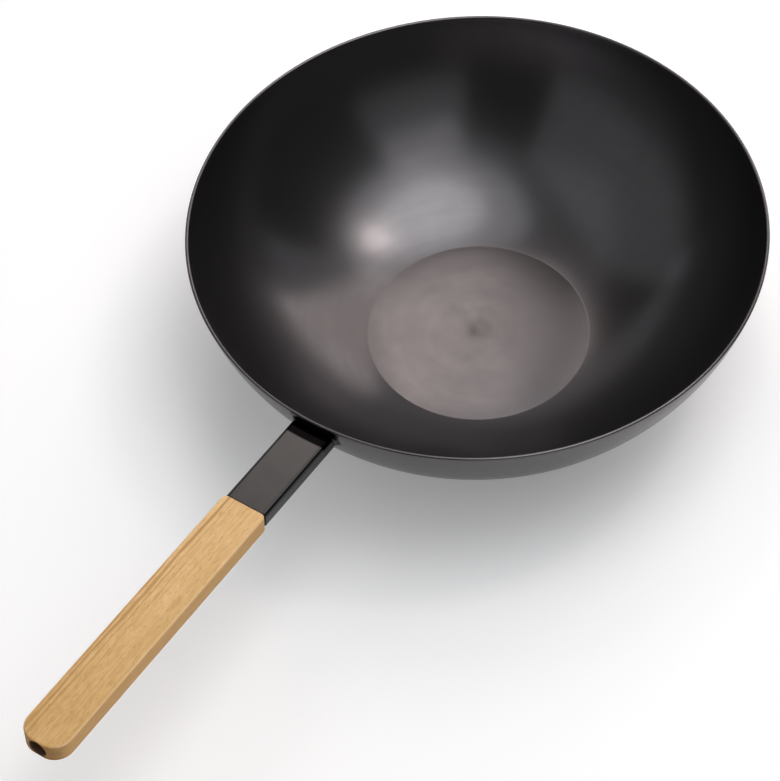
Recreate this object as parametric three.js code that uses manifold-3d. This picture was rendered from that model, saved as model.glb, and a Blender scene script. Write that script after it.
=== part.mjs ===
// A steel wok: a spun bowl with a flat base, a rectangular steel neck welded under the rim,
// and a beech grip that one long bolt pulls onto the neck's tang.
// Millimetres, +Z up. The origin is the centre of the bowl's flat underside, and the handle points along +X.

import * as THREE from 'three';
import { mergeVertices } from 'three/addons/utils/BufferGeometryUtils.js';
import Module from 'manifold-3d';

const wasm = await Module();
wasm.setup();

// Bowl sizes
const RIM_RADIUS = 160; // outer edge of the rim
const BOWL_HEIGHT = 96; // floor to rim
const BASE_RADIUS = 66.5; // where the wall's curve, carried on down, meets the floor
const WALL_ARC_RADIUS = 127; // section of the wall's outside
const KNUCKLE_RADIUS = 14; // bend from base to wall, outside
const SHEET = 2; // steel thickness
const DIMPLE_RADIUS = 5; // centre mark that the spinning lathe leaves inside
const DIMPLE_DEPTH = 0.5;

// Neck sizes
const NECK_WIDTH = 25;
const NECK_HEIGHT = 10;
const NECK_CORNER = 1.3; // outside corner radius of the tube
const NECK_INNER_CORNER = 0.4;
const NECK_WALL = 1.2;
const NECK_LENGTH = 60; // rim edge to grip, along the handle
const NECK_DROP = 5.6; // rim down to the neck's top face
const HANDLE_RISE = THREE.MathUtils.degToRad(3.8); // the handle climbs away from the bowl
const WELD_BEAD = 1.9; // radius of the weld bead

// Grip sizes
const GRIP_LENGTH = 171;
const GRIP_WIDTH = 26.2;
const GRIP_HEIGHT = 11.6;
const GRIP_EDGE = 2.2; // rounding of the long edges and of the free end
const GRIP_END_CORNER = 10.5; // plan radius of the free end's corners
const MOUTH_FLARE = 1.1; // softened mouth of the bore in the free end

// Tang sizes
const TANG_IN_NECK = 25;
const TANG_IN_GRIP = 26;
const TANG_CORNER = 0.6;

// Fastener sizes: an M5 socket-head bolt and a small-series washer
const BOLT_DIAMETER = 5;
const BOLT_HEAD_DIAMETER = 8.5;
const BOLT_HEAD_HEIGHT = 5;
const BOLT_IN_TANG = 16; // thread engaged
const HEX_ACROSS_FLATS = 4;
const HEX_DEPTH = 2.6;
const WASHER_DIAMETER = 9;
const WASHER_THICKNESS = 1;
const COUNTERBORE_DEPTH = 24; // free end to washer seat

// Clearances
const SEAT_GAP = 0.3; // between pieces that bear on or are cut to each other
const THREAD_GAP = 0.2; // radial, bolt to tapped hole
const BORE_GAP = 0.35; // radial, bolt or washer to the holes around them
const TAP_RUNOUT = 4; // tapped hole past the bolt's end

// Facets
const BOWL_SEGMENTS = 80;
const WALL_STEPS = 14;
const KNUCKLE_STEPS = 3;
const DIMPLE_STEPS = 3;
const ROUND_SEGMENTS = 24;
const CORNER_STEPS = 4;
const WELD_STEPS = 96;
const WELD_SIDES = 10;
const SADDLE_ROUNDS = 8; // steps that settle a point of the saddle line on the wall
const MERGE_DISTANCE = 1e-4;

// Solids and cuts

function toSolid(geometry) {
  const bare = geometry.clone();
  bare.deleteAttribute('normal');
  bare.deleteAttribute('uv');
  const merged = mergeVertices(bare, MERGE_DISTANCE);
  const corners = merged.index.array;
  const triangles = [];
  for (let i = 0; i < corners.length; i += 3) {
    const [a, b, c] = [corners[i], corners[i + 1], corners[i + 2]];
    if (a !== b && b !== c && c !== a) triangles.push(a, b, c);
  }
  return new wasm.Manifold(new wasm.Mesh({
    numProp: 3,
    vertProperties: new Float32Array(merged.attributes.position.array),
    triVerts: new Uint32Array(triangles),
  }));
}

function toGeometry(solid) {
  const { vertProperties, triVerts } = solid.getMesh();
  const geometry = new THREE.BufferGeometry();
  geometry.setAttribute('position', new THREE.BufferAttribute(vertProperties, 3));
  geometry.setIndex(new THREE.BufferAttribute(triVerts, 1));
  geometry.computeVertexNormals();
  return geometry;
}

function piece(name, solid, color, roughness, metalness) {
  const material = new THREE.MeshStandardMaterial({ color, roughness, metalness });
  const mesh = new THREE.Mesh(toGeometry(solid), material);
  mesh.name = name;
  return mesh;
}

// A turned solid about the Z axis, from a section of (radius, height) points.
function turnedOnZ(section, segments) {
  return new THREE.LatheGeometry(section, segments).rotateX(Math.PI / 2);
}

// A turned solid about the handle's own X axis, from a section of (radius, distance along X) points.
function turnedOnX(section) {
  return new THREE.LatheGeometry(section, ROUND_SEGMENTS).rotateZ(-Math.PI / 2);
}

// A rectangle with round corners, centred, lying in the shape's own plane.
function roundedRectangle(width, height, corner) {
  const [x, y] = [width / 2, height / 2];
  const shape = new THREE.Shape();
  shape.moveTo(-x + corner, -y);
  shape.lineTo(x - corner, -y);
  shape.absarc(x - corner, -y + corner, corner, -Math.PI / 2, 0, false);
  shape.lineTo(x, y - corner);
  shape.absarc(x - corner, y - corner, corner, 0, Math.PI / 2, false);
  shape.lineTo(-x + corner, y);
  shape.absarc(-x + corner, y - corner, corner, Math.PI / 2, Math.PI, false);
  shape.lineTo(-x, -y + corner);
  shape.absarc(-x + corner, -y + corner, corner, Math.PI, 1.5 * Math.PI, false);
  return shape;
}

// A bar along X of the given section, from one X to another: shape x runs along Y, and shape y along Z.
function barAlongX(shape, from, to) {
  const bar = new THREE.ExtrudeGeometry(shape, {
    depth: to - from,
    bevelEnabled: false,
    curveSegments: CORNER_STEPS,
  });
  return bar.rotateX(Math.PI / 2).rotateZ(Math.PI / 2).translate(from, 0, 0);
}

// Bowl section: a flat base, a knuckle and a wall of one arc, tangent to each other

const baseCorner = new THREE.Vector2(BASE_RADIUS, 0);
const rimEdge = new THREE.Vector2(RIM_RADIUS, BOWL_HEIGHT);
const chord = rimEdge.clone().sub(baseCorner);
const chordToCentre = Math.sqrt(WALL_ARC_RADIUS ** 2 - (chord.length() / 2) ** 2);
const inward = new THREE.Vector2(-chord.y, chord.x).normalize();
const wallCentre = baseCorner.clone().lerp(rimEdge, 0.5).addScaledVector(inward, chordToCentre);

const knuckleReach = Math.sqrt(
  (WALL_ARC_RADIUS - KNUCKLE_RADIUS) ** 2 - (wallCentre.y - KNUCKLE_RADIUS) ** 2,
);
const knuckleCentre = new THREE.Vector2(wallCentre.x + knuckleReach, KNUCKLE_RADIUS);
const knuckleAngle = Math.atan2(knuckleReach, wallCentre.y - KNUCKLE_RADIUS);

// A point on an arc of the section, its angle counted outwards from straight down.
function arcPoint(centre, radius, angle) {
  return new THREE.Vector2(centre.x + radius * Math.sin(angle), centre.y - radius * Math.cos(angle));
}

// The bowl's skin from base to rim, moved out from the steel's outside by an offset.
function bowlSkin(offset) {
  const wallRadius = WALL_ARC_RADIUS + offset;
  const rimAngle = Math.acos((wallCentre.y - BOWL_HEIGHT) / wallRadius);
  const points = [];
  for (let i = 0; i < KNUCKLE_STEPS; i++) {
    points.push(arcPoint(knuckleCentre, KNUCKLE_RADIUS + offset, (knuckleAngle * i) / KNUCKLE_STEPS));
  }
  for (let i = 0; i <= WALL_STEPS; i++) {
    const angle = knuckleAngle + ((rimAngle - knuckleAngle) * i) / WALL_STEPS;
    points.push(arcPoint(wallCentre, wallRadius, angle));
  }
  return points;
}

function dimpleSection() {
  const points = [];
  for (let i = 0; i <= DIMPLE_STEPS; i++) {
    const share = 1 - i / DIMPLE_STEPS;
    const depth = (DIMPLE_DEPTH * (1 + Math.cos(Math.PI * share))) / 2;
    points.push(new THREE.Vector2(DIMPLE_RADIUS * share, SHEET - depth));
  }
  return points;
}

function bowlSolid() {
  const inside = bowlSkin(-SHEET).reverse();
  const section = [new THREE.Vector2(0, 0), ...bowlSkin(0), ...inside, ...dimpleSection()];
  return toSolid(turnedOnZ(section, BOWL_SEGMENTS));
}

// Handle frame: X along the handle from the rim's radius, on the centre line of the neck

const handle = new THREE.Group();
handle.position.set(RIM_RADIUS, 0, BOWL_HEIGHT - NECK_DROP - NECK_HEIGHT / 2);
handle.rotation.y = -HANDLE_RISE;
handle.updateMatrixWorld();

// Everything inside the bowl's outside plus a gap, in the handle frame: it trims what meets the wall.
function bowlFilled() {
  const skin = bowlSkin(SEAT_GAP);
  const rim = skin[skin.length - 1];
  const top = BOWL_HEIGHT + NECK_HEIGHT;
  const section = [
    new THREE.Vector2(0, skin[0].y),
    ...skin,
    new THREE.Vector2(rim.x, top),
    new THREE.Vector2(0, top),
  ];
  const filled = turnedOnZ(section, BOWL_SEGMENTS);
  return toSolid(filled.applyMatrix4(handle.matrixWorld.clone().invert()));
}

const innerWidth = NECK_WIDTH - 2 * NECK_WALL;
const innerHeight = NECK_HEIGHT - 2 * NECK_WALL;
const neckEnd = NECK_LENGTH - SEAT_GAP;

function neckSolid() {
  const outline = roundedRectangle(NECK_WIDTH, NECK_HEIGHT, NECK_CORNER);
  outline.holes.push(roundedRectangle(innerWidth, innerHeight, NECK_INNER_CORNER));
  return toSolid(barAlongX(outline, -RIM_RADIUS, neckEnd)).subtract(bowlFilled());
}

// The line where the neck's outside meets the bowl's outside, once around the neck.
class SaddleLine extends THREE.Curve {
  constructor() {
    super();
    this.outline = roundedRectangle(NECK_WIDTH, NECK_HEIGHT, NECK_CORNER);
    this.outline.closePath();
  }

  getPoint(t, target = new THREE.Vector3()) {
    const side = this.outline.getPointAt(t % 1);
    const place = target.set(0, side.x, side.y);
    for (let i = 0; i < SADDLE_ROUNDS; i++) {
      const world = place.clone().applyMatrix4(handle.matrixWorld);
      const level = wallCentre.y - world.z;
      const wallRadius = wallCentre.x + Math.sqrt(WALL_ARC_RADIUS ** 2 - level ** 2);
      place.x += Math.sqrt(wallRadius ** 2 - world.y ** 2) - world.x;
    }
    return place;
  }
}

// The bead runs around the joint as a closed ring, and lies in the corner between neck and wall.
function weldSolid() {
  const ring = new THREE.TubeGeometry(new SaddleLine(), WELD_STEPS, WELD_BEAD, WELD_SIDES, true);
  const spread = 2 * SEAT_GAP;
  const outline = roundedRectangle(NECK_WIDTH + spread, NECK_HEIGHT + spread, NECK_CORNER + SEAT_GAP);
  const neck = toSolid(barAlongX(outline, -RIM_RADIUS, NECK_LENGTH));
  return toSolid(ring).subtract(neck).subtract(bowlFilled());
}

// Tang and grip, in the handle frame

const tangWidth = innerWidth - 2 * SEAT_GAP;
const tangHeight = innerHeight - 2 * SEAT_GAP;
const tangEnd = NECK_LENGTH + TANG_IN_GRIP;
const gripEnd = NECK_LENGTH + GRIP_LENGTH;
const washerSeat = gripEnd - COUNTERBORE_DEPTH;
const boltStart = tangEnd - BOLT_IN_TANG;

// A plain round plug along X, for holes.
function plug(radius, from, to) {
  const section = [
    new THREE.Vector2(0, from),
    new THREE.Vector2(radius, from),
    new THREE.Vector2(radius, to),
    new THREE.Vector2(0, to),
  ];
  return toSolid(turnedOnX(section));
}

function tangSolid() {
  const outline = roundedRectangle(tangWidth, tangHeight, TANG_CORNER);
  const bar = toSolid(barAlongX(outline, NECK_LENGTH - TANG_IN_NECK, tangEnd));
  const tapRadius = BOLT_DIAMETER / 2 + THREAD_GAP;
  return bar.subtract(plug(tapRadius, boltStart - TAP_RUNOUT, gripEnd));
}

// Seen from above: square at the neck and round-cornered at the free end. The extra length is cut off later.
function gripOutline(extra) {
  const y = GRIP_WIDTH / 2;
  const start = NECK_LENGTH - extra;
  const shape = new THREE.Shape();
  shape.moveTo(start, -y);
  shape.lineTo(gripEnd - GRIP_END_CORNER, -y);
  shape.absarc(gripEnd - GRIP_END_CORNER, -y + GRIP_END_CORNER, GRIP_END_CORNER, -Math.PI / 2, 0, false);
  shape.lineTo(gripEnd, y - GRIP_END_CORNER);
  shape.absarc(gripEnd - GRIP_END_CORNER, y - GRIP_END_CORNER, GRIP_END_CORNER, 0, Math.PI / 2, false);
  shape.lineTo(start, y);
  return shape;
}

function gripBlank() {
  const extra = 2 * GRIP_EDGE;
  const bar = new THREE.ExtrudeGeometry(gripOutline(extra), {
    depth: GRIP_HEIGHT - 2 * GRIP_EDGE,
    bevelThickness: GRIP_EDGE,
    bevelSize: GRIP_EDGE,
    bevelOffset: -GRIP_EDGE,
    bevelSegments: CORNER_STEPS,
    curveSegments: 2 * CORNER_STEPS,
  });
  bar.translate(0, 0, GRIP_EDGE - GRIP_HEIGHT / 2);
  const offcut = new THREE.BoxGeometry(2 * extra, 2 * GRIP_WIDTH, 2 * GRIP_HEIGHT);
  offcut.translate(NECK_LENGTH - extra, 0, 0);
  return toSolid(bar).subtract(toSolid(offcut));
}

// Bolt hole, counterbore and softened mouth in one cutter that runs out past the free end.
function gripBore() {
  const hole = BOLT_DIAMETER / 2 + BORE_GAP;
  const counterbore = WASHER_DIAMETER / 2 + BORE_GAP;
  const mouth = counterbore + MOUTH_FLARE;
  const section = [
    new THREE.Vector2(0, NECK_LENGTH),
    new THREE.Vector2(hole, NECK_LENGTH),
    new THREE.Vector2(hole, washerSeat),
    new THREE.Vector2(counterbore, washerSeat),
    new THREE.Vector2(counterbore, gripEnd - MOUTH_FLARE),
    new THREE.Vector2(mouth, gripEnd),
    new THREE.Vector2(mouth, gripEnd + MOUTH_FLARE),
    new THREE.Vector2(0, gripEnd + MOUTH_FLARE),
  ];
  return toSolid(turnedOnX(section));
}

function gripSolid() {
  const mortise = roundedRectangle(innerWidth, innerHeight, TANG_CORNER + SEAT_GAP);
  const pocket = toSolid(barAlongX(mortise, 0, tangEnd + SEAT_GAP));
  return gripBlank().subtract(pocket).subtract(gripBore());
}

// Bolt and washer, in the handle frame

const headSeat = washerSeat + SEAT_GAP + WASHER_THICKNESS + SEAT_GAP;

function boltSolid() {
  const headEnd = headSeat + BOLT_HEAD_HEIGHT;
  const section = [
    new THREE.Vector2(0, boltStart),
    new THREE.Vector2(BOLT_DIAMETER / 2, boltStart),
    new THREE.Vector2(BOLT_DIAMETER / 2, headSeat),
    new THREE.Vector2(BOLT_HEAD_DIAMETER / 2, headSeat),
    new THREE.Vector2(BOLT_HEAD_DIAMETER / 2, headEnd),
    new THREE.Vector2(0, headEnd),
  ];
  const hexRadius = HEX_ACROSS_FLATS / Math.sqrt(3);
  const key = new THREE.CylinderGeometry(hexRadius, hexRadius, 2 * HEX_DEPTH, 6);
  key.rotateZ(-Math.PI / 2).translate(headEnd, 0, 0);
  return toSolid(turnedOnX(section)).subtract(toSolid(key));
}

function washerSolid() {
  const start = washerSeat + SEAT_GAP;
  const end = start + WASHER_THICKNESS;
  const hole = BOLT_DIAMETER / 2 + THREAD_GAP;
  const section = [
    new THREE.Vector2(hole, start),
    new THREE.Vector2(WASHER_DIAMETER / 2, start),
    new THREE.Vector2(WASHER_DIAMETER / 2, end),
    new THREE.Vector2(hole, end),
    new THREE.Vector2(hole, start),
  ];
  return toSolid(turnedOnX(section));
}

// The whole wok

handle.add(
  piece('neck_tube', neckSolid(), 0x1a1919, 0.22, 0.4),
  piece('neck_weld', weldSolid(), 0x1a1919, 0.3, 0.4),
  piece('tang', tangSolid(), 0x77797c, 0.45, 0.9),
  piece('grip', gripSolid(), 0xc99f68, 0.6, 0),
  piece('tie_bolt', boltSolid(), 0x2b2b2d, 0.4, 0.8),
  piece('grip_washer', washerSolid(), 0x8d9094, 0.4, 0.9),
);

const wok = new THREE.Group();
wok.name = 'wok';
wok.add(piece('bowl', bowlSolid(), 0x4a494a, 0.42, 0.85), handle);

export default wok;
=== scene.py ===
# A steel wok with a beech grip: its visible surfaces and finishes, the studio around it and the camera.
# Metres, +Z up. The origin is the centre of the bowl's flat underside, and the handle points along +X.

import math
from itertools import accumulate

import bmesh
import bpy
from mathutils import Matrix, Vector


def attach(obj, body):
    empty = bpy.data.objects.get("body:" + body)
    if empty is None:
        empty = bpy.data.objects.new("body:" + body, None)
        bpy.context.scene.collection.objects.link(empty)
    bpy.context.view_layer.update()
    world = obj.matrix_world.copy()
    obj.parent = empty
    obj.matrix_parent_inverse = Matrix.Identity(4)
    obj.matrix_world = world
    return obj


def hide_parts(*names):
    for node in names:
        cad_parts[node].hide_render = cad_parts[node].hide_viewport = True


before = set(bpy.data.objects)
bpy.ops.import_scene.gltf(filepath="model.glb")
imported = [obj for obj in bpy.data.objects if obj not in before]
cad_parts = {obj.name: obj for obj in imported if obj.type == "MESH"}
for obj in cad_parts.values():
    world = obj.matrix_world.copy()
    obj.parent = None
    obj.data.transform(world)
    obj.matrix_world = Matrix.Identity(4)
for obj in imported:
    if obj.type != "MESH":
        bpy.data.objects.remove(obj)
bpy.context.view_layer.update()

MM = 0.001

# Bowl sizes
RIM_RADIUS = 160 * MM
BOWL_HEIGHT = 96 * MM
BASE_RADIUS = 66.5 * MM  # where the wall's curve, carried on down, meets the floor
WALL_ARC_RADIUS = 127 * MM  # section of the wall's outside
KNUCKLE_RADIUS = 14 * MM  # bend from base to wall, outside
INSIDE_BEND = 1.2 * MM  # the same bend inside, which is tighter
INSIDE_FLOOR = 1.4 * MM  # height of the inside at the base's edge, where the sheet is thinned
SHEET = 2 * MM
BASE_CROWN = 1.4 * MM  # the base's inside is this much higher in the middle than at its edge
CROWN_POWER = 4  # the crown is flat in the middle and falls off near its edge
DIMPLE_RADIUS = 6 * MM
DIMPLE_DEPTH = 0.12 * MM

# Neck sizes
NECK_WIDTH = 25 * MM
NECK_HEIGHT = 10 * MM
NECK_CORNER = 2.4 * MM
NECK_INNER_CORNER = 0.4 * MM
NECK_WALL = 1.2 * MM
NECK_LENGTH = 60 * MM  # rim edge to grip, along the handle
NECK_DROP = 5.6 * MM  # rim down to the neck's top face
NECK_END_ROUND = 0.25 * MM  # cut end of the tube, deburred
HANDLE_RISE = math.radians(3.8)
WELD_ON_NECK = 1.6 * MM
WELD_ON_WALL = 2.0 * MM
WELD_BULGE = 0.2 * MM
WELD_RIPPLE = 0.04  # share of the bead's size
WELD_RIPPLES = 46  # around the joint

# Grip sizes
GRIP_LENGTH = 170.7 * MM  # with the sharp edges below, this keeps the free end in the CAD model's box
GRIP_WIDTH = 26.2 * MM
GRIP_HEIGHT = 11.3 * MM  # for the same reason
GRIP_EDGE = 1.2 * MM  # rounding of the long edges and of the free end
GRIP_END_CORNER = 10.5 * MM  # plan radius of the free end's corners
GRIP_NECK_CORNER = 3.0 * MM  # plan radius of the corners at the neck
GRIP_NECK_EASE = 0.6 * MM  # rounding of the edge that meets the neck
MOUTH_FLARE = 1.1 * MM

# Tang and fastener sizes
TANG_IN_NECK = 25 * MM
TANG_IN_GRIP = 26 * MM
TANG_CORNER = 0.6 * MM
TANG_CHAMFER = 0.5 * MM
BOLT_DIAMETER = 5 * MM
BOLT_CHAMFER = 0.6 * MM
BOLT_HEAD_DIAMETER = 8.5 * MM
BOLT_HEAD_HEIGHT = 5 * MM
BOLT_IN_TANG = 16 * MM
HEAD_CHAMFER = 0.5 * MM
HEX_ACROSS_FLATS = 4 * MM
HEX_DEPTH = 2.6 * MM
KNURL_DEPTH = 0.12 * MM
KNURLS = 32
WASHER_DIAMETER = 9 * MM
WASHER_THICKNESS = 1 * MM
WASHER_CHAMFER = 0.15 * MM
COUNTERBORE_DEPTH = 24 * MM

# Clearances
SEAT_GAP = 0.3 * MM
THREAD_GAP = 0.2 * MM
BORE_GAP = 0.35 * MM
TAP_RUNOUT = 4 * MM
FLOOR_GAP = 0.2 * MM  # keeps the floor off the bowl's underside

# Mesh steps
BOWL_SEGMENTS = 192
WALL_STEPS = 56
BEND_STEPS = 20
RIM_STEPS = 12
BASE_RINGS = 24
DIMPLE_STEPS = 8
ROUND_SEGMENTS = 64
CORNER_STEPS = 8
STRAIGHT_STEPS = 10
END_STEPS = 20  # in each corner of the grip's plan
EDGE_STEPS = 8
WELD_CORNER_STEPS = 2 * CORNER_STEPS
WELD_STRAIGHT_STEPS = 6 * STRAIGHT_STEPS
KNURL_SEGMENTS = 4 * KNURLS
SADDLE_ROUNDS = 8  # steps that settle a point of the neck on the wall
SHARP_ANGLE = math.radians(40)

# Camera, at the photograph's viewing angle
VIEW_AZIMUTH = math.radians(126.37)
VIEW_ELEVATION = math.radians(52.69)
VIEW_ROLL = math.radians(-3.8)
VIEW_AIM = Vector((0.1209, 0.0232, 0.096))
VIEW_DISTANCE = 1.3935
LENS_MM = 123.05

# Steel colours, and the mark that the spinning tool's centre leaves on the base
STEEL_DARK = (0.096, 0.092, 0.095, 1)
STEEL_LIGHT = (0.109, 0.104, 0.107, 1)
STEEL_MARK = (0.055, 0.052, 0.053, 1)
MARK_INNER = 5 * MM  # the mark is whole up to this radius
MARK_OUTER = 9.5 * MM  # and gone from this one on
MARK_DEPTH = 0.42

# Steel finish
STEEL_METALLIC = 0.94
STEEL_SPECULAR = 0.1
STEEL_GLANCE = (0.86, 0.86, 0.86, 1)  # tint of its reflections at a glancing angle
STEEL_SPREAD = 0.6  # how much more its reflections spread one way than the other
QUARTER_TURN = 0.25  # of a full turn, from around the rings to across them
STEEL_ROUGH = 0.245  # roughness of the darkest tone
STEEL_SMOOTH = 0.215  # roughness of the lightest tone
TONE_RANGE = (0.38, 0.62)  # where the mixed rings and blotches lie
BROAD_SHARE = 0.6  # of broad rings in the streaks, the rest is fine ones
SPOT_SHARE = 0.4  # of small spots in the blotches, the rest is wide clouds
BLOTCH_SHARE = 0.5  # of blotches in the tone, the rest is streaks
STREAK_RELIEF = 0.04 * MM

# Lacquer colours and gloss
LACQUER_DARK = (0.003, 0.0027, 0.0027, 1)
LACQUER_LIGHT = (0.007, 0.0063, 0.0063, 1)
# Painted shade: a black that mirrors nothing, for the weld and the neck where shade and the dark wall's
# reflection fall
PAINTED_SHADE_BLACK = (0.0013, 0.0012, 0.0012, 1)
LACQUER_IOR = 1.40
WELD_SPECULAR = 0.03  # the weld hardly shines, and it lies under the painted shade
GLOSS_AT_WELD = 0.13  # roughness
GLOSS_AT_GRIP = 0.25
GLOSS_UNEVEN = 0.05  # most that patches add to it
PEEL_RELIEF = 0.02 * MM
PEEL_STRENGTH = 0.12

# Painted shade and painted dark reflection of the wall on the weld and the neck next to the bowl: whole up to
# one distance from the rim, gone from the other on
PAINTED_SHADE_FULL = 7.6 * MM
PAINTED_SHADE_NONE = 8.6 * MM

# How far the lacquer laps onto the wall from the neck, and how far painted shade reaches above it
LAP_FULL = 1.6 * MM
LAP_NONE = 2.2 * MM
PAINTED_SHADE_RAISE = 3.4 * MM  # above the neck the dark is carried almost to the rim, as painted shade under the rim
LAP_FACING = (0.1, 0.3)  # share of the wall's normal along the handle, which leaves out the bowl's inside
LAP_ROUGHNESS = 0.15

# Tang, washer and bolt finishes
BRIGHT_DARK = (0.42, 0.42, 0.43, 1)
BRIGHT_LIGHT = (0.56, 0.56, 0.57, 1)
BRIGHT_ROUGHNESS = (0.28, 0.42)
OXIDE_DARK = (0.10, 0.10, 0.105, 1)
OXIDE_LIGHT = (0.17, 0.17, 0.175, 1)
OXIDE_ROUGHNESS = (0.32, 0.48)
TOOL_MARK_RELIEF = 0.03 * MM

RING_STRENGTH = 0.2  # of the relief on all turned and spun steel
NOISE_RANGE = (0.3, 0.7)  # where nearly all values of a noise lie

# Beech colours
BEECH_PALE = (0.80, 0.53, 0.255, 1)
BEECH_DEEP = (0.58, 0.345, 0.118, 1)
# painted shade on the grip's sides
BEECH_SIDE_SHADE = (0.76, 0.43, 0.165, 1)
# painted highlight on the rounded edges
BEECH_EDGE_HIGHLIGHT = (0.82, 0.58, 0.31, 1)
BEECH_LINE = (0.37, 0.185, 0.056, 1)
BEECH_FLECK = (0.34, 0.175, 0.058, 1)
# the end grain's darker colour, with painted shade on the end
BEECH_END_GRAIN_AND_SHADE = (0.37, 0.155, 0.03, 1)
# painted shade inside the bore
BEECH_BORE_SHADE = (0.15, 0.082, 0.046, 1)
PALE_AT_NECK = 0.85
PALE_AT_END = 0.2
BORE_SHADE_FULL = 4.95 * MM  # from the bore's axis
BORE_SHADE_NONE = 5.5 * MM

# Beech grain, as patches per metre along X, Y and Z
FIBRES_PER_METRE = (40, 1500, 1500)
DRIFT_PER_METRE = (14, 90, 90)
FIGURE_PER_METRE = (150, 330, 330)
FLECKS_PER_METRE = (300, 2000, 2000)
GROWTH_PER_METRE = (5, 620, 1)
GROWTH_SWAY = 5 * MM  # how far the growth lines wander
GROWTH_LEAN = 0.4  # how far they shift sideways for each unit of height
GROWTH_ACROSS = (-0.5 * GRIP_WIDTH, -0.05 * GRIP_WIDTH)  # full at the first, faded at the second
GROWTH_FADED = 0.14

# Where each noise of the grain or turn of the surface begins to show and is full, and its share when full
FIBRE_RANGE = (0.35, 0.75)
FIBRE_SHARE = 0.24
GROWTH_RANGE = (0.46, 0.62)
FLECK_RANGE = (0.58, 0.74)
FLECK_SHARE = 0.5
# painted shade on the sides
SIDE_SHADE_FACING = (0.8, 1)
SIDE_SHADE_SHARE = 0.6
# painted highlight on the rounded edges
EDGE_HIGHLIGHT_FACING = (0.12, 0.4)
EDGE_HIGHLIGHT_SHARE = 0.6
# the end grain's colour, with painted shade on the end
END_FACING = (0.45, 0.95)
END_GRAIN_AND_SHADE_SHARE = 0.7
BEECH_SPECULAR = 0.2
BEECH_ROUGHNESS = (0.5, 0.64)
FIBRE_RELIEF = 0.06 * MM
FIBRE_STRENGTH = 0.3

# Studio sizes and light
STUDIO_CENTRE = Vector((0, 0, BOWL_HEIGHT))
SOFTBOX_REACH = 1.3  # from the bowl's axis to the upright softboxes
SOFTBOX_DROP = 1.7  # from the rim to the hung softboxes
GLOW_POWER = 4  # watts per square metre of a softbox whose face has a brightness of 1
NEUTRAL = (1.0, 1.0, 1.0)
WARM = (1.0, 0.89, 0.85)
COOL = (0.95, 0.97, 1.0)
ROOM_GREY = 0.05
FLOOR_RADIUS = 8.0
FLOOR_PAINT = 0.87
FLOOR_GLOW = 0.2


# Meshes

def lofted(name, rings, closed=False):
    """A mesh through rings of points, of which a ring of one point is a pole.

    A closed loft joins its last ring to its first.
    """
    work = bmesh.new()
    loops = [[work.verts.new(point) for point in ring] for ring in rings]
    pairs = list(zip(loops, loops[1:]))
    if closed:
        pairs.append((loops[-1], loops[0]))
    for first, second in pairs:
        count = max(len(first), len(second))
        for i in range(count):
            corners = [first[i % len(first)], first[(i + 1) % len(first)]]
            corners += [second[(i + 1) % len(second)], second[i % len(second)]]
            work.faces.new(dict.fromkeys(corners))
    return finished(name, work)


def finished(name, work):
    """Turns a working mesh into a smooth-shaded mesh whose faces look outwards."""
    bmesh.ops.recalc_face_normals(work, faces=work.faces[:])
    for face in work.faces:
        face.smooth = True
    mesh = bpy.data.meshes.new(name)
    work.to_mesh(mesh)
    work.free()
    mesh.set_sharp_from_angle(angle=SHARP_ANGLE)
    return mesh


def circle(radius, height, segments):
    """A ring about Z, or its centre point where the radius is nothing."""
    if radius == 0:
        return [Vector((0, 0, height))]
    turns = [2 * math.pi * i / segments for i in range(segments)]
    return [Vector((radius * math.cos(a), radius * math.sin(a), height)) for a in turns]


def turned(name, section, segments, closed=False):
    """A turned mesh about Z, from a section of (radius, height) points."""
    return lofted(name, [circle(radius, height, segments) for radius, height in section], closed)


def rounded_rectangle(width, height, corner, corner_steps=CORNER_STEPS, straight_steps=STRAIGHT_STEPS):
    """(across, up) points round a rectangle with round corners, evenly many on every side."""
    points = []
    for quarter in range(4):
        turn = quarter * math.pi / 2
        side_across = (1, -1, -1, 1)[quarter]
        side_up = (1, 1, -1, -1)[quarter]
        centre = Vector((side_across * (width / 2 - corner), side_up * (height / 2 - corner)))
        for i in range(corner_steps + 1):
            angle = turn + math.pi / 2 * i / corner_steps
            points.append(centre + corner * Vector((math.cos(angle), math.sin(angle))))
    return with_straight_steps(points, corner_steps + 1, straight_steps)


def with_straight_steps(points, arc_points, steps):
    """Adds points along the straight stretch after every arc of an outline."""
    filled = []
    for i, point in enumerate(points):
        filled.append(point)
        if (i + 1) % arc_points == 0:
            following = points[(i + 1) % len(points)]
            filled += [point.lerp(following, s / steps) for s in range(1, steps)]
    return filled


def add_piece(name, data, place=Matrix.Identity(4)):
    """Puts a mesh, a lamp or a camera into the scene as a named object."""
    piece = bpy.data.objects.new(name, data)
    piece.matrix_world = place
    bpy.context.scene.collection.objects.link(piece)
    return piece


def fit_out(piece, material, node):
    """Gives a piece its finish and ties it to the frame, in the place of a CAD node."""
    piece.data.materials.append(material)
    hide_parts(node)
    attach(piece, "root")


def true_flats(piece):
    """Keeps flat faces flat in the shading, so that only the rounded edges turn the light."""
    flats = piece.modifiers.new("true_flats", "WEIGHTED_NORMAL")
    flats.keep_sharp = True


# Bowl

base_corner = Vector((BASE_RADIUS, 0))
rim_edge = Vector((RIM_RADIUS, BOWL_HEIGHT))
chord = rim_edge - base_corner
chord_to_centre = math.sqrt(WALL_ARC_RADIUS**2 - (chord.length / 2) ** 2)
inward = Vector((-chord.y, chord.x)).normalized()
wall_centre = (base_corner + rim_edge) / 2 + inward * chord_to_centre


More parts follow.
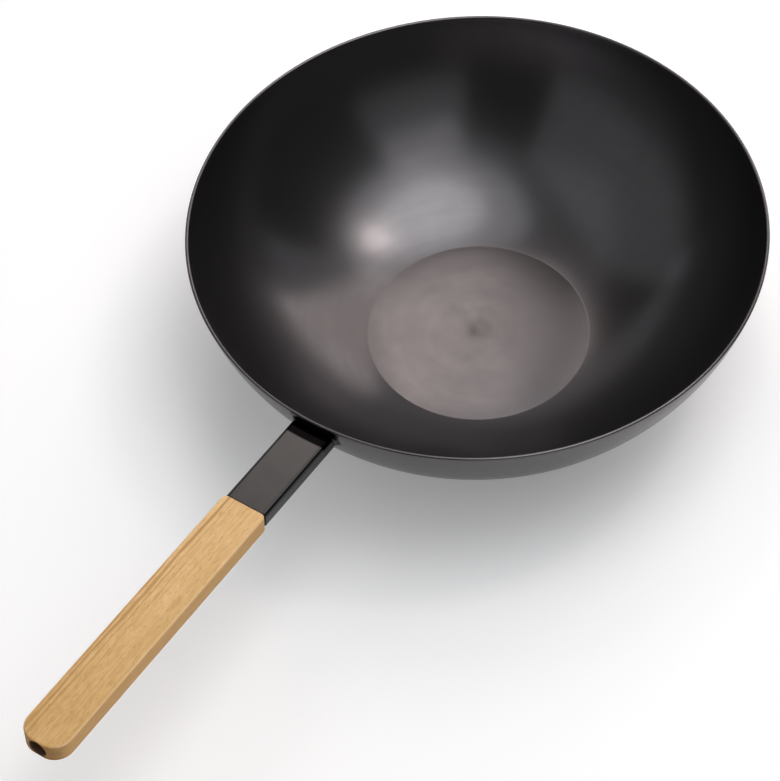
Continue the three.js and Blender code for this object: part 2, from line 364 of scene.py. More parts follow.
def bend_into_wall(bend_radius, floor, wall_radius):
    """Centre and last angle of the bend that leads from a floor into the wall's arc."""
    level = floor + bend_radius
    rise = wall_centre.y - level
    reach = math.sqrt((wall_radius - bend_radius) ** 2 - rise**2)
    return Vector((wall_centre.x + reach, level)), math.atan2(reach, rise)


# The rim is a half round over the sheet, as high as the bowl
rim_angle = math.acos((wall_centre.y - BOWL_HEIGHT + SHEET / 2) / (WALL_ARC_RADIUS - SHEET / 2))


def arc(centre, radius, first, last, steps):
    """Points on an arc of the section, the angles counted outwards from straight down."""
    angles = [first + (last - first) * i / steps for i in range(steps + 1)]
    return [centre + radius * Vector((math.sin(a), -math.cos(a))) for a in angles]


def wall_skin(wall_radius, bend_angle):
    """One side of the wall, from the end of the bend to the rim."""
    return arc(wall_centre, wall_radius, bend_angle, rim_angle, WALL_STEPS)


def outside_skin():
    """The sheet's outside, from the middle of its flat underside to the rim."""
    centre, angle = bend_into_wall(KNUCKLE_RADIUS, 0, WALL_ARC_RADIUS)
    underside = [Vector((centre.x * i / BASE_RINGS, 0)) for i in range(BASE_RINGS)]
    bend = arc(centre, KNUCKLE_RADIUS, 0, angle, BEND_STEPS)
    return underside + bend[:-1] + wall_skin(WALL_ARC_RADIUS, angle)


def crown_height(radius, edge):
    """Height of the crowned base, which ends in the edge."""
    return edge.y + BASE_CROWN * (1 - (radius / edge.x) ** CROWN_POWER)


def inside_skin():
    """The sheet's inside, from its dimpled middle over the crowned base to the rim."""
    wall_radius = WALL_ARC_RADIUS - SHEET
    centre, angle = bend_into_wall(INSIDE_BEND, INSIDE_FLOOR, wall_radius)
    fall = math.atan2(CROWN_POWER * BASE_CROWN, centre.x)
    bend = arc(centre, INSIDE_BEND, -fall, angle, BEND_STEPS)
    edge = bend[0]
    crown = []
    for i in range(1, BASE_RINGS):
        radius = DIMPLE_RADIUS + (edge.x - DIMPLE_RADIUS) * i / BASE_RINGS
        crown.append(Vector((radius, crown_height(radius, edge))))
    middle = crown_height(DIMPLE_RADIUS, edge)
    dimple = []
    for i in range(DIMPLE_STEPS + 1):
        share = i / DIMPLE_STEPS
        depth = DIMPLE_DEPTH * (1 + math.cos(math.pi * share)) / 2
        dimple.append(Vector((DIMPLE_RADIUS * share, middle - depth)))
    return dimple + crown + bend[:-1] + wall_skin(wall_radius, angle)


def bowl_section():
    """The whole sheet in section: out along its outside, over the rim and back along its inside."""
    outside = outside_skin()
    inside = inside_skin()
    rim_middle = (outside[-1] + inside[-1]) / 2
    rim = arc(rim_middle, SHEET / 2, rim_angle, rim_angle + math.pi, RIM_STEPS)[1:-1]
    return outside + rim + inside[::-1]


def make_bowl():
    return add_piece("spun_bowl", turned("spun_bowl", bowl_section(), BOWL_SEGMENTS))


# Handle frame: X along the handle from the rim's radius, on the neck's centre line

neck_middle = BOWL_HEIGHT - NECK_DROP - NECK_HEIGHT / 2
handle_place = Matrix.Translation((RIM_RADIUS, 0, neck_middle)) @ Matrix.Rotation(-HANDLE_RISE, 4, "Y")

# Turned pieces of the handle are made about Z and laid along the handle
turned_place = handle_place @ Matrix.Rotation(math.pi / 2, 4, "Y")

neck_end = NECK_LENGTH - SEAT_GAP
grip_end = NECK_LENGTH + GRIP_LENGTH
inner_width = NECK_WIDTH - 2 * NECK_WALL
inner_height = NECK_HEIGHT - 2 * NECK_WALL
tang_end = NECK_LENGTH + TANG_IN_GRIP
bolt_start = tang_end - BOLT_IN_TANG
washer_seat = grip_end - COUNTERBORE_DEPTH
washer_start = washer_seat + SEAT_GAP
head_seat = washer_start + WASHER_THICKNESS + SEAT_GAP


def on_wall(across, up):
    """Where a line along the handle, at this place in the neck's section, meets the bowl's outside."""
    place = Vector((0, across, up))
    for _ in range(SADDLE_ROUNDS):
        world = handle_place @ place
        level = wall_centre.y - world.z
        wall_radius = wall_centre.x + math.sqrt(WALL_ARC_RADIUS**2 - level**2)
        place.x += math.sqrt(wall_radius**2 - world.y**2) - world.x
    return place


def saddle_ring(outline):
    """The neck's section, carried along the handle to just off the wall."""
    clear = Vector((SEAT_GAP, 0, 0))
    return [on_wall(across, up) + clear for across, up in outline]


def square_ring(outline, along):
    """A section cut square across the handle."""
    return [Vector((along, across, up)) for across, up in outline]


def make_neck():
    inset = 2 * NECK_END_ROUND
    outside = rounded_rectangle(NECK_WIDTH, NECK_HEIGHT, NECK_CORNER)
    eased = rounded_rectangle(NECK_WIDTH - inset, NECK_HEIGHT - inset, NECK_CORNER - NECK_END_ROUND)
    inside = rounded_rectangle(inner_width, inner_height, NECK_INNER_CORNER)
    rings = [
        saddle_ring(outside),
        square_ring(outside, neck_end - NECK_END_ROUND),
        square_ring(eased, neck_end),
        square_ring(inside, neck_end),
        saddle_ring(inside),
    ]
    neck = add_piece("lacquered_neck", lofted("lacquered_neck", rings, closed=True), handle_place)
    true_flats(neck)
    return neck


def make_weld():
    """A faintly rippled fillet in the corner between neck and wall, once around the neck."""
    outline = rounded_rectangle(NECK_WIDTH, NECK_HEIGHT, NECK_CORNER, WELD_CORNER_STEPS, WELD_STRAIGHT_STEPS)
    count = len(outline)
    round_joint = list(accumulate((outline[i] - outline[i - 1]).length for i in range(count)))
    rings = []
    for i, (across, up) in enumerate(outline):
        root = on_wall(across, up)
        ahead = outline[(i + 1) % count] - outline[i - 1]
        away = Vector((ahead.y, -ahead.x)).normalized()
        turn = 2 * math.pi * WELD_RIPPLES * round_joint[i] / round_joint[-1]
        size = 1 + WELD_RIPPLE * math.sin(turn)
        on_neck = Vector((size * WELD_ON_NECK, 0, 0))
        up_wall = on_wall(*(outline[i] + size * WELD_ON_WALL * away)) - root
        outwards = (on_neck.normalized() + up_wall.normalized()).normalized()
        ring = [root]
        for step in range(EDGE_STEPS + 1):
            share = step / EDGE_STEPS
            bulge = size * WELD_BULGE * math.sin(math.pi * share)
            ring.append(root + on_neck.lerp(up_wall, share) + bulge * outwards)
        rings.append(ring)
    return add_piece("weld_bead", lofted("weld_bead", rings, closed=True), handle_place)


# Grip

def grip_outline(inset):
    """(along, across) points of the grip from above, drawn in by an inset that is smaller at the neck."""
    ease = inset * GRIP_NECK_EASE / GRIP_EDGE
    half = GRIP_WIDTH / 2 - inset
    near = NECK_LENGTH + ease
    far = grip_end - inset
    end_corner = GRIP_END_CORNER - inset
    neck_corner = GRIP_NECK_CORNER - ease
    corners = [
        (far - end_corner, half - end_corner, end_corner, 0),
        (near + neck_corner, half - neck_corner, neck_corner, 1),
        (near + neck_corner, neck_corner - half, neck_corner, 2),
        (far - end_corner, end_corner - half, end_corner, 3),
    ]
    points = []
    for along, across, radius, quarter in corners:
        for i in range(END_STEPS + 1):
            angle = math.pi / 2 * (quarter + i / END_STEPS)
            points.append(Vector((along + radius * math.cos(angle), across + radius * math.sin(angle))))
    return points


def grip_blank():
    """The bar before its bore and mortise are cut: rings from the bottom face to the top one."""
    levels = []
    for i in range(EDGE_STEPS + 1):
        angle = math.pi / 2 * i / EDGE_STEPS
        inset = GRIP_EDGE * (1 - math.sin(angle))
        height = GRIP_HEIGHT / 2 - GRIP_EDGE * (1 - math.cos(angle))
        levels.append((inset, height))
    lower = [(inset, -height) for inset, height in levels]
    upper = [(inset, height) for inset, height in levels[::-1]]
    work = bmesh.new()
    loops = []
    for inset, height in lower + upper:
        loops.append([work.verts.new((p.x, p.y, height)) for p in grip_outline(inset)])
    for first, second in zip(loops, loops[1:]):
        for i in range(len(first)):
            work.faces.new((first[i - 1], first[i], second[i], second[i - 1]))
    work.faces.new(loops[0])
    work.faces.new(loops[-1])
    return finished("beech_grip", work)


def bore_cutter():
    """Bolt hole, counterbore and softened mouth, about Z."""
    hole = BOLT_DIAMETER / 2 + BORE_GAP
    counterbore = WASHER_DIAMETER / 2 + BORE_GAP
    flare = []
    for i in range(EDGE_STEPS + 1):
        angle = math.pi / 2 * i / EDGE_STEPS
        widening = MOUTH_FLARE * (1 - math.cos(angle))
        flare.append((counterbore + widening, grip_end - MOUTH_FLARE * (1 - math.sin(angle))))
    mouth = counterbore + MOUTH_FLARE
    section = [(0, NECK_LENGTH), (hole, NECK_LENGTH), (hole, washer_seat), (counterbore, washer_seat)]
    section += flare
    section += [(mouth, grip_end + MOUTH_FLARE), (0, grip_end + MOUTH_FLARE)]
    return add_piece("bore_cutter", turned("bore_cutter", section, ROUND_SEGMENTS), turned_place)


def mortise_cutter():
    outline = rounded_rectangle(inner_width, inner_height, TANG_CORNER + SEAT_GAP)
    start, end = 0, tang_end + SEAT_GAP
    rings = [
        [Vector((start, 0, 0))],
        square_ring(outline, start),
        square_ring(outline, end),
        [Vector((end, 0, 0))],
    ]
    return add_piece("mortise_cutter", lofted("mortise_cutter", rings), handle_place)


def cut_away(piece, cutter):
    """Cuts one piece with another, keeps the result as plain mesh and throws the cutter away."""
    cut = piece.modifiers.new("cut", "BOOLEAN")
    cut.operation = "DIFFERENCE"
    cut.solver = "EXACT"
    cut.object = cutter
    graph = bpy.context.evaluated_depsgraph_get()
    result = bpy.data.meshes.new_from_object(piece.evaluated_get(graph))
    piece.modifiers.remove(cut)
    piece.data = result
    bpy.data.objects.remove(cutter)


def make_grip():
    grip = add_piece("beech_grip", grip_blank(), handle_place)
    cut_away(grip, mortise_cutter())
    cut_away(grip, bore_cutter())
    grip.data.set_sharp_from_angle(angle=SHARP_ANGLE)
    true_flats(grip)
    return grip


# Tang, bolt and washer

def make_tang():
    width = inner_width - 2 * SEAT_GAP
    height = inner_height - 2 * SEAT_GAP
    start = NECK_LENGTH - TANG_IN_NECK
    body = rounded_rectangle(width, height, TANG_CORNER)
    inset = 2 * TANG_CHAMFER
    ends = rounded_rectangle(width - inset, height - inset, TANG_CORNER)
    tap_radius = BOLT_DIAMETER / 2 + THREAD_GAP
    tap_end = bolt_start - TAP_RUNOUT
    tap = [tap_radius * point.normalized() for point in ends]
    rings = [
        [Vector((start, 0, 0))],
        square_ring(ends, start),
        square_ring(body, start + TANG_CHAMFER),
        square_ring(body, tang_end - TANG_CHAMFER),
        square_ring(ends, tang_end),
        square_ring(tap, tang_end),
        square_ring(tap, tap_end),
        [Vector((tap_end, 0, 0))],
    ]
    tang = add_piece("tang_bar", lofted("tang_bar", rings), handle_place)
    true_flats(tang)
    return tang


def hexagon(height):
    """A ring round the socket's six flats, with as many points as the head."""
    points = []
    for i in range(KNURL_SEGMENTS):
        angle = 2 * math.pi * i / KNURL_SEGMENTS
        from_flat = (angle % (math.pi / 3)) - math.pi / 6
        radius = HEX_ACROSS_FLATS / 2 / math.cos(from_flat)
        points.append(Vector((radius * math.cos(angle), radius * math.sin(angle), height)))
    return points


def knurled(radius, height):
    """A ring round the head's grooved side."""
    points = []
    for i in range(KNURL_SEGMENTS):
        angle = 2 * math.pi * i / KNURL_SEGMENTS
        reach = radius - KNURL_DEPTH * (1 - math.cos(KNURLS * angle)) / 2
        points.append(Vector((reach * math.cos(angle), reach * math.sin(angle), height)))
    return points


def make_bolt():
    shank = BOLT_DIAMETER / 2
    head = BOLT_HEAD_DIAMETER / 2
    head_end = head_seat + BOLT_HEAD_HEIGHT
    rings = [
        circle(0, bolt_start, KNURL_SEGMENTS),
        circle(shank - BOLT_CHAMFER, bolt_start, KNURL_SEGMENTS),
        circle(shank, bolt_start + BOLT_CHAMFER, KNURL_SEGMENTS),
        circle(shank, head_seat, KNURL_SEGMENTS),
        circle(head - KNURL_DEPTH, head_seat, KNURL_SEGMENTS),
        knurled(head, head_seat + KNURL_DEPTH),
        knurled(head, head_end - HEAD_CHAMFER),
        circle(head - HEAD_CHAMFER, head_end, KNURL_SEGMENTS),
        hexagon(head_end),
        hexagon(head_end - HEX_DEPTH),
        circle(0, head_end - HEX_DEPTH, KNURL_SEGMENTS),
    ]
    bolt = add_piece("socket_bolt", lofted("socket_bolt", rings), turned_place)
    true_flats(bolt)
    return bolt


def make_washer():
    hole = BOLT_DIAMETER / 2 + THREAD_GAP
    edge = WASHER_DIAMETER / 2
    end = washer_start + WASHER_THICKNESS
    section = [
        (hole, washer_start),
        (edge - WASHER_CHAMFER, washer_start),
        (edge, washer_start + WASHER_CHAMFER),
        (edge, end - WASHER_CHAMFER),
        (edge - WASHER_CHAMFER, end),
        (hole, end),
    ]
    mesh = turned("flat_washer", section, ROUND_SEGMENTS, closed=True)
    washer = add_piece("flat_washer", mesh, turned_place)
    true_flats(washer)
    return washer


# Shader building

def feed(tree, socket, value):
    """Links a socket to another node's output, or sets it to a plain value."""
    if isinstance(value, bpy.types.NodeSocket):
        tree.links.new(value, socket)
    else:
        socket.default_value = value


def calc(tree, operation, *values):
    """One step of arithmetic."""
    step = tree.nodes.new("ShaderNodeMath")
    step.operation = operation
    for socket, value in zip(step.inputs, values):
        feed(tree, socket, value)
    return step.outputs["Value"]


def remap(tree, value, from_low, from_high, to_low, to_high):
    """Moves a value from one range to another and holds it inside the new one."""
    step = tree.nodes.new("ShaderNodeMapRange")
    for socket, given in zip(step.inputs, (value, from_low, from_high, to_low, to_high)):
        feed(tree, socket, given)
    return step.outputs["Result"]


def weighted(tree, first, second, share):
    """Two values added up, the second with this share and the first with the rest."""
    return calc(tree, "ADD", calc(tree, "MULTIPLY", first, 1 - share), calc(tree, "MULTIPLY", second, share))


def mix_colour(tree, share, first, second):
    step = tree.nodes.new("ShaderNodeMix")
    step.data_type = "RGBA"
    feed(tree, step.inputs["Factor"], share)
    colours = [socket for socket in step.inputs if socket.type == "RGBA"]
    feed(tree, colours[0], first)
    feed(tree, colours[1], second)
    return next(socket for socket in step.outputs if socket.type == "RGBA")


def vector_of(tree, x, y, z):
    step = tree.nodes.new("ShaderNodeCombineXYZ")
    for socket, value in zip(step.inputs, (x, y, z)):
        feed(tree, socket, value)
    return step.outputs["Vector"]


def object_place(tree):
    """The x, y and z of a point in its piece's own frame."""
    split = tree.nodes.new("ShaderNodeSeparateXYZ")
    place = tree.nodes.new("ShaderNodeTexCoord").outputs["Object"]
    tree.links.new(place, split.inputs["Vector"])
    return split.outputs["X"], split.outputs["Y"], split.outputs["Z"]


def object_normal(tree):
    """How far the surface faces along x, y and z of its piece's own frame."""
    split = tree.nodes.new("ShaderNodeSeparateXYZ")
    normal = tree.nodes.new("ShaderNodeTexCoord").outputs["Normal"]
    tree.links.new(normal, split.inputs["Vector"])
    return split.outputs["X"], split.outputs["Y"], split.outputs["Z"]


def from_axis(tree, first, second):
    """Distance from the axis that two of a point's coordinates are counted from."""
    squares = calc(tree, "ADD", calc(tree, "MULTIPLY", first, first), calc(tree, "MULTIPLY", second, second))
    return calc(tree, "SQRT", squares)


def stretched(tree, place, per_metre):
    """A place for a noise, with this many of its patches per metre along each axis."""
    return vector_of(tree, *(calc(tree, "MULTIPLY", axis, count) for axis, count in zip(place, per_metre)))


def noise(tree, place, detail, roughness):
    step = tree.nodes.new("ShaderNodeTexNoise")
    feed(tree, step.inputs["Vector"], place)
    step.inputs["Scale"].default_value = 1
    step.inputs["Detail"].default_value = detail
    step.inputs["Roughness"].default_value = roughness
    return step.outputs["Fac"]


def bump(tree, shader, height, distance, strength):
    """Relief of a given depth on the surface."""
    step = tree.nodes.new("ShaderNodeBump")
    step.inputs["Strength"].default_value = strength
    step.inputs["Distance"].default_value = distance
    feed(tree, step.inputs["Height"], height)
    tree.links.new(step.outputs["Normal"], shader.inputs["Normal"])


def new_material(name, **settings):
    """A material and its Principled shader, with the values that are the same all over set on the shader."""
    material = bpy.data.materials.new(name)
    material.use_nodes = True
    tree = material.node_tree
    shader = tree.nodes["Principled BSDF"]
    for label, value in settings.items():
        shader.inputs[label.replace("_", " ")].default_value = value
    return material, tree, shader


def new_group(name, inputs, output):
    group = bpy.data.node_groups.new(name, "ShaderNodeTree")
    for label, value in inputs.items():
        socket = group.interface.new_socket(label, in_out="INPUT", socket_type="NodeSocketFloat")
        socket.default_value = value
    group.interface.new_socket(output, in_out="OUTPUT", socket_type="NodeSocketFloat")
    given = group.nodes.new("NodeGroupInput").outputs
    result = group.nodes.new("NodeGroupOutput").inputs[output]
    return group, given, result


def use_group(tree, group, **values):
    step = tree.nodes.new("ShaderNodeGroup")
    step.node_tree = group
    for label, value in values.items():
        feed(tree, step.inputs[label.replace("_", " ")], value)
    return step.outputs[0]


# Effects that several finishes share

def turning_rings_group():
    """Lines that spinning or turning leaves around a piece's own Z axis, fading in and out on the way."""
    group, given, result = new_group("turning_rings", {"Rings per metre": 500, "Wander": 1}, "Rings")
    x, y, z = object_place(group)
    radius = from_axis(group, x, y)
    along = calc(group, "MULTIPLY", calc(group, "ADD", radius, z), given["Rings per metre"])
    wander_x = calc(group, "MULTIPLY", calc(group, "DIVIDE", x, radius), given["Wander"])
    wander_y = calc(group, "MULTIPLY", calc(group, "DIVIDE", y, radius), given["Wander"])
    lines = noise(group, vector_of(group, along, wander_x, wander_y), detail=3, roughness=0.6)
    group.links.new(lines, result)
    return group


def cloudy_patches_group():
    """Soft uneven patches of a given number per metre."""
    group, given, result = new_group("cloudy_patches", {"Patches per metre": 50}, "Cloud")
    x, y, z = (calc(group, "MULTIPLY", axis, given["Patches per metre"]) for axis in object_place(group))
    group.links.new(noise(group, vector_of(group, x, y, z), detail=4, roughness=0.55), result)
    return group


turning_rings = turning_rings_group()
cloudy_patches = cloudy_patches_group()


# Finishes

def lap_and_painted_shade(tree, x, y, z):
    """Where the neck's lacquer laps onto the wall around the weld, with painted shade above the neck almost
    to the rim: 1 near the neck and 0 further off.
    """
    past_side = calc(tree, "SUBTRACT", calc(tree, "ABSOLUTE", y), NECK_WIDTH / 2)
    past_side = calc(tree, "MAXIMUM", past_side, 0)
    off_middle = calc(tree, "ABSOLUTE", calc(tree, "SUBTRACT", z, neck_middle + PAINTED_SHADE_RAISE / 2))
    past_top = calc(tree, "SUBTRACT", off_middle, (NECK_HEIGHT + PAINTED_SHADE_RAISE) / 2)
    past_top = calc(tree, "MAXIMUM", past_top, 0)
    near_neck = remap(tree, from_axis(tree, past_side, past_top), LAP_FULL, LAP_NONE, 1, 0)
    facing_handle, _, _ = object_normal(tree)
    outside = remap(tree, facing_handle, *LAP_FACING, 0, 1)
    handle_side = calc(tree, "MULTIPLY", outside, calc(tree, "GREATER_THAN", x, 0))
    return calc(tree, "MULTIPLY", near_neck, handle_side)


def blued_steel():
    """Spun steel with a dark oxide. Its rings spread reflections towards the axis more than around it."""
    material, tree, shader = new_material(
        "blued_steel",
        Specular_IOR_Level=STEEL_SPECULAR,
        Specular_Tint=STEEL_GLANCE,
        Anisotropic=STEEL_SPREAD,
        Anisotropic_Rotation=QUARTER_TURN,
    )
    x, y, z = object_place(tree)
    fine = use_group(tree, turning_rings, Rings_per_metre=1500, Wander=2.4)
    broad = use_group(tree, turning_rings, Rings_per_metre=110, Wander=1.2)
    cloud = use_group(tree, cloudy_patches, Patches_per_metre=26)
    spots = use_group(tree, cloudy_patches, Patches_per_metre=110)
    streaks = weighted(tree, fine, broad, BROAD_SHARE)
    blotches = weighted(tree, cloud, spots, SPOT_SHARE)
    tone = weighted(tree, streaks, blotches, BLOTCH_SHARE)
    colour = mix_colour(tree, remap(tree, tone, *TONE_RANGE, 0, 1), STEEL_DARK, STEEL_LIGHT)
    mark = remap(tree, from_axis(tree, x, y), MARK_INNER, MARK_OUTER, MARK_DEPTH, 0)
    colour = mix_colour(tree, mark, colour, STEEL_MARK)
    roughness = remap(tree, tone, *TONE_RANGE, STEEL_ROUGH, STEEL_SMOOTH)

    lap_and_shade = lap_and_painted_shade(tree, x, y, z)
    bare = calc(tree, "SUBTRACT", 1, lap_and_shade)
    lap_roughness = remap(tree, lap_and_shade, 0, 1, 1, LAP_ROUGHNESS)
    # The lap's dark lacquer colour, which above the neck also paints the shade under the rim
    tree.links.new(mix_colour(tree, lap_and_shade, colour, LACQUER_DARK), shader.inputs["Base Color"])
    tree.links.new(calc(tree, "MULTIPLY", bare, STEEL_METALLIC), shader.inputs["Metallic"])
    tree.links.new(calc(tree, "MINIMUM", roughness, lap_roughness), shader.inputs["Roughness"])
    tangent = tree.nodes.new("ShaderNodeTangent")
    tangent.direction_type = "RADIAL"
    tangent.axis = "Z"
    tree.links.new(tangent.outputs["Tangent"], shader.inputs["Tangent"])
    bump(tree, shader, streaks, STREAK_RELIEF, RING_STRENGTH)
    return material


def black_lacquer(name, **gloss):
    """Black lacquer, less glossy towards the grip, with painted shade over the weld and the neck next to it.
    """
    material, tree, shader = new_material(name, **gloss)
    x, y, _ = object_place(tree)
    cloud = use_group(tree, cloudy_patches, Patches_per_metre=90)
    peel = use_group(tree, cloudy_patches, Patches_per_metre=700)
    colour = mix_colour(tree, cloud, LACQUER_DARK, LACQUER_LIGHT)
    from_bowl_axis = from_axis(tree, calc(tree, "ADD", x, RIM_RADIUS), y)
    # A metal as dark as the lacquer mirrors next to nothing, which is how the painted shade looks
    painted_shade = remap(tree, from_bowl_axis, RIM_RADIUS + PAINTED_SHADE_FULL, RIM_RADIUS + PAINTED_SHADE_NONE, 1, 0)
    tree.links.new(painted_shade, shader.inputs["Metallic"])
    tree.links.new(mix_colour(tree, painted_shade, colour, PAINTED_SHADE_BLACK), shader.inputs["Base Color"])
    gloss_loss = remap(tree, x, PAINTED_SHADE_NONE, NECK_LENGTH, GLOSS_AT_WELD, GLOSS_AT_GRIP)
    unevenness = remap(tree, cloud, *NOISE_RANGE, 0, GLOSS_UNEVEN)
    tree.links.new(calc(tree, "ADD", gloss_loss, unevenness), shader.inputs["Roughness"])
    bump(tree, shader, peel, PEEL_RELIEF, PEEL_STRENGTH)
    return material


def plain_steel():
    """Bright steel with fine tool marks, which also change its roughness."""
    material, tree, shader = new_material("plain_steel", Metallic=1.0)
    rings = use_group(tree, turning_rings, Rings_per_metre=2200, Wander=1)
    cloud = use_group(tree, cloudy_patches, Patches_per_metre=120)
    tree.links.new(mix_colour(tree, cloud, BRIGHT_DARK, BRIGHT_LIGHT), shader.inputs["Base Color"])
    tree.links.new(remap(tree, rings, *NOISE_RANGE, *BRIGHT_ROUGHNESS), shader.inputs["Roughness"])
    bump(tree, shader, rings, TOOL_MARK_RELIEF, RING_STRENGTH)
    return material


def black_oxide():
    """Blackened steel with fine tool marks and a patchy oxide."""
    material, tree, shader = new_material("black_oxide", Metallic=1.0)
    rings = use_group(tree, turning_rings, Rings_per_metre=1800, Wander=1)
    cloud = use_group(tree, cloudy_patches, Patches_per_metre=260)
    tree.links.new(mix_colour(tree, cloud, OXIDE_DARK, OXIDE_LIGHT), shader.inputs["Base Color"])
    tree.links.new(remap(tree, cloud, *NOISE_RANGE, *OXIDE_ROUGHNESS), shader.inputs["Roughness"])
    bump(tree, shader, rings, TOOL_MARK_RELIEF, RING_STRENGTH)
    return material


def growth_lines(tree, place, drift):
    """Dark lines of the yearly growth, full at one edge of the grip and faint over the rest."""
    x, y, z = place
    sway = calc(tree, "MULTIPLY", calc(tree, "SUBTRACT", drift, 0.5), GROWTH_SWAY)
    leaning = calc(tree, "ADD", y, calc(tree, "MULTIPLY", z, GROWTH_LEAN))
    depth = calc(tree, "ADD", leaning, sway)
    growth = noise(tree, stretched(tree, (x, depth, 0), GROWTH_PER_METRE), detail=2, roughness=0.55)
    near_edge = remap(tree, y, *GROWTH_ACROSS, 1, GROWTH_FADED)
    return calc(tree, "MULTIPLY", remap(tree, growth, *GROWTH_RANGE, 0, 1), near_edge)


def faces_of_grip(tree, colour):
    """Paints shade on the wood's sides, a highlight on its rounded edges, and shade over the end grain's
    darker colour.
    """
    facing_end, facing_side, facing_up = (calc(tree, "ABSOLUTE", facing) for facing in object_normal(tree))
    rounded = calc(tree, "MULTIPLY", facing_side, facing_up)
    colour = mix_colour(tree, remap(tree, facing_side, *SIDE_SHADE_FACING, 0, SIDE_SHADE_SHARE), colour, BEECH_SIDE_SHADE)
    colour = mix_colour(tree, remap(tree, rounded, *EDGE_HIGHLIGHT_FACING, 0, EDGE_HIGHLIGHT_SHARE), colour, BEECH_EDGE_HIGHLIGHT)
    return mix_colour(tree, remap(tree, facing_end, *END_FACING, 0, END_GRAIN_AND_SHADE_SHARE), colour, BEECH_END_GRAIN_AND_SHADE)


def beech():
    """Oiled beech with its grain along X: fibres, growth lines, ray flecks and end grain, with painted shade
    in the bore, on the sides and the end, and a painted highlight on the rounded edges.
    """
    material, tree, shader = new_material("beech", Specular_IOR_Level=BEECH_SPECULAR)
    place = object_place(tree)
    x, y, z = place
    fibres = noise(tree, stretched(tree, place, FIBRES_PER_METRE), detail=3, roughness=0.6)
    drift = noise(tree, stretched(tree, place, DRIFT_PER_METRE), detail=3, roughness=0.5)
    figure = noise(tree, stretched(tree, place, FIGURE_PER_METRE), detail=2, roughness=0.5)
    flecks = noise(tree, stretched(tree, place, FLECKS_PER_METRE), detail=1, roughness=0.5)

    # Each noise is one half on average, so this only shifts the tone up and down
    wavering = calc(tree, "ADD", calc(tree, "SUBTRACT", drift, 0.5), calc(tree, "SUBTRACT", figure, 0.5))
    along = remap(tree, x, NECK_LENGTH, grip_end, PALE_AT_NECK, PALE_AT_END)
    colour = mix_colour(tree, calc(tree, "ADD", along, wavering), BEECH_DEEP, BEECH_PALE)
    colour = mix_colour(tree, remap(tree, fibres, *FIBRE_RANGE, 0, FIBRE_SHARE), colour, BEECH_LINE)
    colour = mix_colour(tree, growth_lines(tree, place, drift), colour, BEECH_LINE)
    colour = mix_colour(tree, remap(tree, flecks, *FLECK_RANGE, 0, FLECK_SHARE), colour, BEECH_FLECK)
    colour = faces_of_grip(tree, colour)
    # painted shade inside the bore
    bore_shade = remap(tree, from_axis(tree, y, z), BORE_SHADE_FULL, BORE_SHADE_NONE, 1, 0)
    tree.links.new(mix_colour(tree, bore_shade, colour, BEECH_BORE_SHADE), shader.inputs["Base Color"])
    tree.links.new(remap(tree, fibres, *NOISE_RANGE, *BEECH_ROUGHNESS), shader.inputs["Roughness"])
    bump(tree, shader, fibres, FIBRE_RELIEF, FIBRE_STRENGTH)
    return material


# Studio

def studio_direction(turn, height):
    """A direction from the wok, by degrees to the right of the camera and degrees above the rim."""
    angle = VIEW_AZIMUTH - math.pi / 2 + math.radians(turn)
    rise = math.radians(height)
    return Vector((math.cos(angle) * math.cos(rise), math.sin(angle) * math.cos(rise), math.sin(rise)))


def softbox(name, place, back, width, tall, glow, colour, shape):
    """A flat light with its back turned to a direction. Glow is the brightness of its face."""
    light = bpy.data.lights.new(name, "AREA")
    light.shape = shape
    light.size = width
    light.size_y = tall
    light.energy = glow * GLOW_POWER * width * tall
    light.color = colour
    turn = back.to_track_quat("Z", "Y").to_matrix().to_4x4()
    lamp = add_piece(name, light, Matrix.Translation(place) @ turn)
    lamp.visible_camera = False


def upright_softbox(name, turn, spread, low, high, glow, colour):
    """Stands beside the wok, this many degrees wide, between two heights in degrees above the rim."""
    back = studio_direction(turn, 0)
    width = 2 * SOFTBOX_REACH * math.tan(math.radians(spread / 2))
    bottom = SOFTBOX_REACH * math.tan(math.radians(low))
    top = SOFTBOX_REACH * math.tan(math.radians(high))
    place = STUDIO_CENTRE + back * SOFTBOX_REACH + Vector((0, 0, (bottom + top) / 2))
    softbox(name, place, back, width, top - bottom, glow, colour, "RECTANGLE")


def hung_softbox(name, turn, height, spread, tall, glow, colour, shape="RECTANGLE"):
    """Hangs over the wok and faces it, this many degrees wide and tall."""
    back = studio_direction(turn, height)
    width = 2 * SOFTBOX_DROP * math.tan(math.radians(spread / 2))
    length = 2 * SOFTBOX_DROP * math.tan(math.radians(tall / 2))
    softbox(name, STUDIO_CENTRE + back * SOFTBOX_DROP, back, width, length, glow, colour, shape)


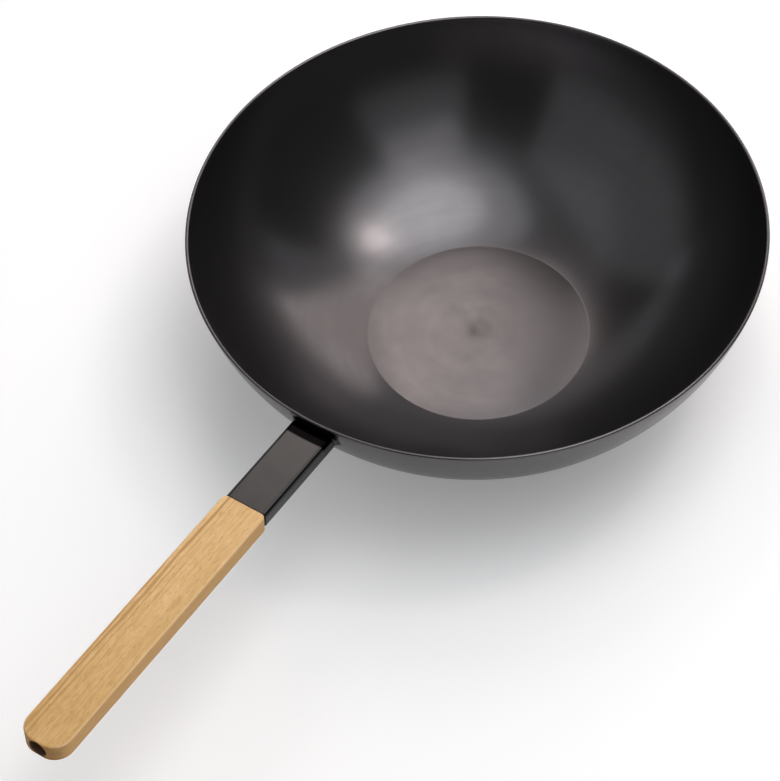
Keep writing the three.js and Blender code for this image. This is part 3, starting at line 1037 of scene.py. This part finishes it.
def light_studio():
    """Softboxes around the wok, named by where they stand for the camera. All angles are in degrees."""
    hung_softbox("ceiling", turn=0, height=90, spread=80, tall=80, glow=0.17, colour=COOL)
    hung_softbox(
        "overhead_softbox", turn=70, height=76, spread=60, tall=56, glow=0.74, colour=COOL, shape="ELLIPSE"
    )
    hung_softbox(
        "overhead_core", turn=76, height=76, spread=38, tall=32, glow=1.48, colour=NEUTRAL, shape="ELLIPSE"
    )
    hung_softbox("bare_lamp", turn=104, height=61, spread=8, tall=8, glow=9.2, colour=WARM)
    hung_softbox("front_overhead_softbox", turn=25, height=46, spread=30, tall=18, glow=0.71, colour=NEUTRAL)
    upright_softbox("left_softbox", turn=-82, spread=94, low=0, high=62, glow=0.27, colour=COOL)
    upright_softbox("front_softbox", turn=23, spread=46, low=12, high=42, glow=0.22, colour=COOL)
    upright_softbox("right_softbox", turn=143, spread=34, low=0, high=61, glow=1.45, colour=WARM)
    upright_softbox("right_fill", turn=119, spread=26, low=8, high=48, glow=0.3, colour=COOL)
    upright_softbox("back_wall", turn=180, spread=120, low=0, high=36, glow=0.32, colour=COOL)
    hung_softbox("back_softbox", turn=185, height=52, spread=16, tall=23, glow=2.6, colour=WARM)


def dim_room():
    """A plain grey world, which is what the wok mirrors between the softboxes."""
    world = bpy.data.worlds.new("dim_room")
    world.use_nodes = True
    background = world.node_tree.nodes["Background"]
    background.inputs["Color"].default_value = (ROOM_GREY, ROOM_GREY, ROOM_GREY, 1)
    bpy.context.scene.world = world


def pale_floor():
    """A pale floor that looks white to the camera and in reflections, and keeps the wok's shadow."""
    material, tree, shader = new_material("floor_paint", Roughness=0.9, Specular_IOR_Level=0.0)
    shader.inputs["Base Color"].default_value = (FLOOR_PAINT, FLOOR_PAINT, FLOOR_PAINT, 1)
    shader.inputs["Emission Color"].default_value = (1, 1, 1, 1)
    rays = tree.nodes.new("ShaderNodeLightPath").outputs
    seen = calc(tree, "MAXIMUM", rays["Is Camera Ray"], rays["Is Glossy Ray"])
    seen = calc(tree, "MAXIMUM", seen, rays["Is Transmission Ray"])
    tree.links.new(calc(tree, "MULTIPLY", seen, FLOOR_GLOW), shader.inputs["Emission Strength"])
    rings = [(0, 0), (FLOOR_RADIUS / 2, 0), (FLOOR_RADIUS, 0)]
    floor = add_piece("floor", turned("floor", rings, ROUND_SEGMENTS), Matrix.Translation((0, 0, -FLOOR_GAP)))
    floor.data.materials.append(material)


def photo_camera():
    """A camera where the photograph was taken from."""
    back = Vector((
        math.sin(VIEW_AZIMUTH) * math.cos(VIEW_ELEVATION),
        -math.cos(VIEW_AZIMUTH) * math.cos(VIEW_ELEVATION),
        math.sin(VIEW_ELEVATION),
    ))
    right = Vector((math.cos(VIEW_AZIMUTH), math.sin(VIEW_AZIMUTH), 0))
    up = back.cross(right)
    turn = Matrix((right, up, back)).transposed().to_4x4() @ Matrix.Rotation(VIEW_ROLL, 4, "Z")
    lens = bpy.data.cameras.new("photo_camera")
    lens.lens = LENS_MM
    camera = add_piece("photo_camera", lens, Matrix.Translation(VIEW_AIM + back * VIEW_DISTANCE) @ turn)
    bpy.context.scene.camera = camera


# The whole scene

bpy.context.scene.view_settings.view_transform = "Standard"
photo_camera()
light_studio()
dim_room()
pale_floor()

lacquer = black_lacquer("black_lacquer", IOR=LACQUER_IOR)
weld_lacquer = black_lacquer("weld_lacquer", Specular_IOR_Level=WELD_SPECULAR)
bright_steel = plain_steel()
fit_out(make_bowl(), blued_steel(), "bowl")
fit_out(make_neck(), lacquer, "neck_tube")
fit_out(make_weld(), weld_lacquer, "neck_weld")
fit_out(make_tang(), bright_steel, "tang")
fit_out(make_grip(), beech(), "grip")
fit_out(make_bolt(), black_oxide(), "tie_bolt")
fit_out(make_washer(), bright_steel, "grip_washer")
